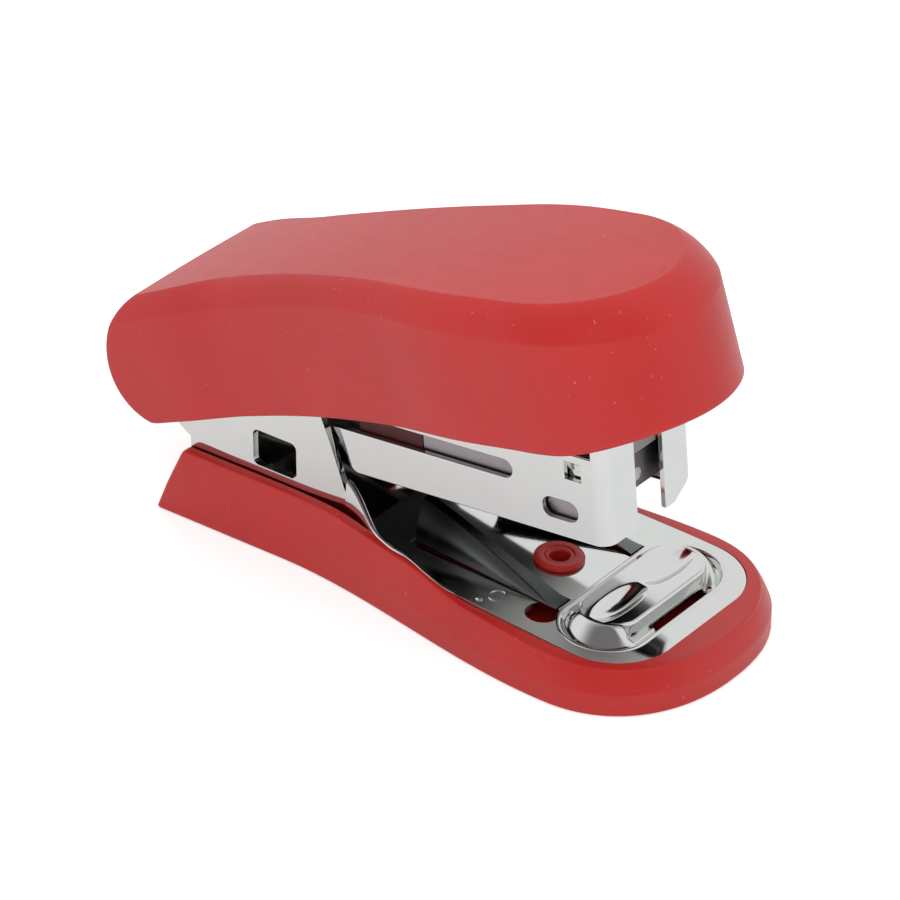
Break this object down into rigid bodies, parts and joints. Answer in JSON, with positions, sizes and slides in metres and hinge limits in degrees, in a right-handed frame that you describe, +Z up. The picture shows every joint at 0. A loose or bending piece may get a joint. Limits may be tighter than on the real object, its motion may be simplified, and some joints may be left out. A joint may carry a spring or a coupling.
{
  "type": "stapler",
  "caption": "Small desk stapler with a rounded red plastic handle and base tray, a chromed steel base plate with a raised anvil, and a sprung staple magazine.",
  "frame": {"origin": "on the table, straight below the middle of the pivot pin", "axes": "+X towards the nose where the staple comes out, +Y along the pivot pin, +Z up"},
  "size_m": [0.0711, 0.0298, 0.0418],
  "materials": {
    "red_plastic": "satin moulded red plastic",
    "chrome": "bright chromed pressed steel",
    "steel": "plain drawn steel",
    "wire": "galvanised staple wire",
    "dark_red_plastic": "dark red moulded plastic"
  },
  "bodies": {
    "base": {"base_tray": "red_plastic", "base_plate": "chrome", "anvil": "chrome", "plate_eyelet": "red_plastic", "lift_spring": "chrome", "pivot_pin": "steel"},
    "magazine": {"magazine_shell": "chrome", "staple_core": "steel", "pivot_bush": "steel", "guide_rod": "steel", "spring_seat": "steel", "pusher_spring": "steel", "core_post": "steel", "staple_strip": "wire"},
    "pusher": {"staple_pusher": "dark_red_plastic"},
    "handle": {"handle_cover": "red_plastic", "handle_frame": "chrome", "driver_blade": "steel", "driver_rivets": "steel", "handle_spring": "chrome", "spring_rivet": "steel"}
  },
  "joints": [
    {"name": "magazine_hinge", "type": "hinge", "parent": "base", "child": "magazine", "pos_m": [0, 0, 0.01825], "axis": [0, 1, 0], "range_deg": [0, 8], "stiffness_Nm_per_rad": 0.35, "springref_deg": -6.88, "deforming": ["lift_spring"]},
    {"name": "handle_hinge", "type": "hinge", "parent": "magazine", "child": "handle", "pos_m": [0, 0, 0.01825], "axis": [0, 1, 0], "range_deg": [-60, 8.5], "stiffness_Nm_per_rad": 0.2, "springref_deg": -1.15, "deforming": ["handle_spring"]},
    {"name": "pusher_slide", "type": "slide", "parent": "magazine", "child": "pusher", "axis": [0.996, 0, 0.0889], "range_m": [-0.011, 0], "stiffness_N_per_m": 20, "springref_m": 0.02, "deforming": ["pusher_spring"]}
  ]
}
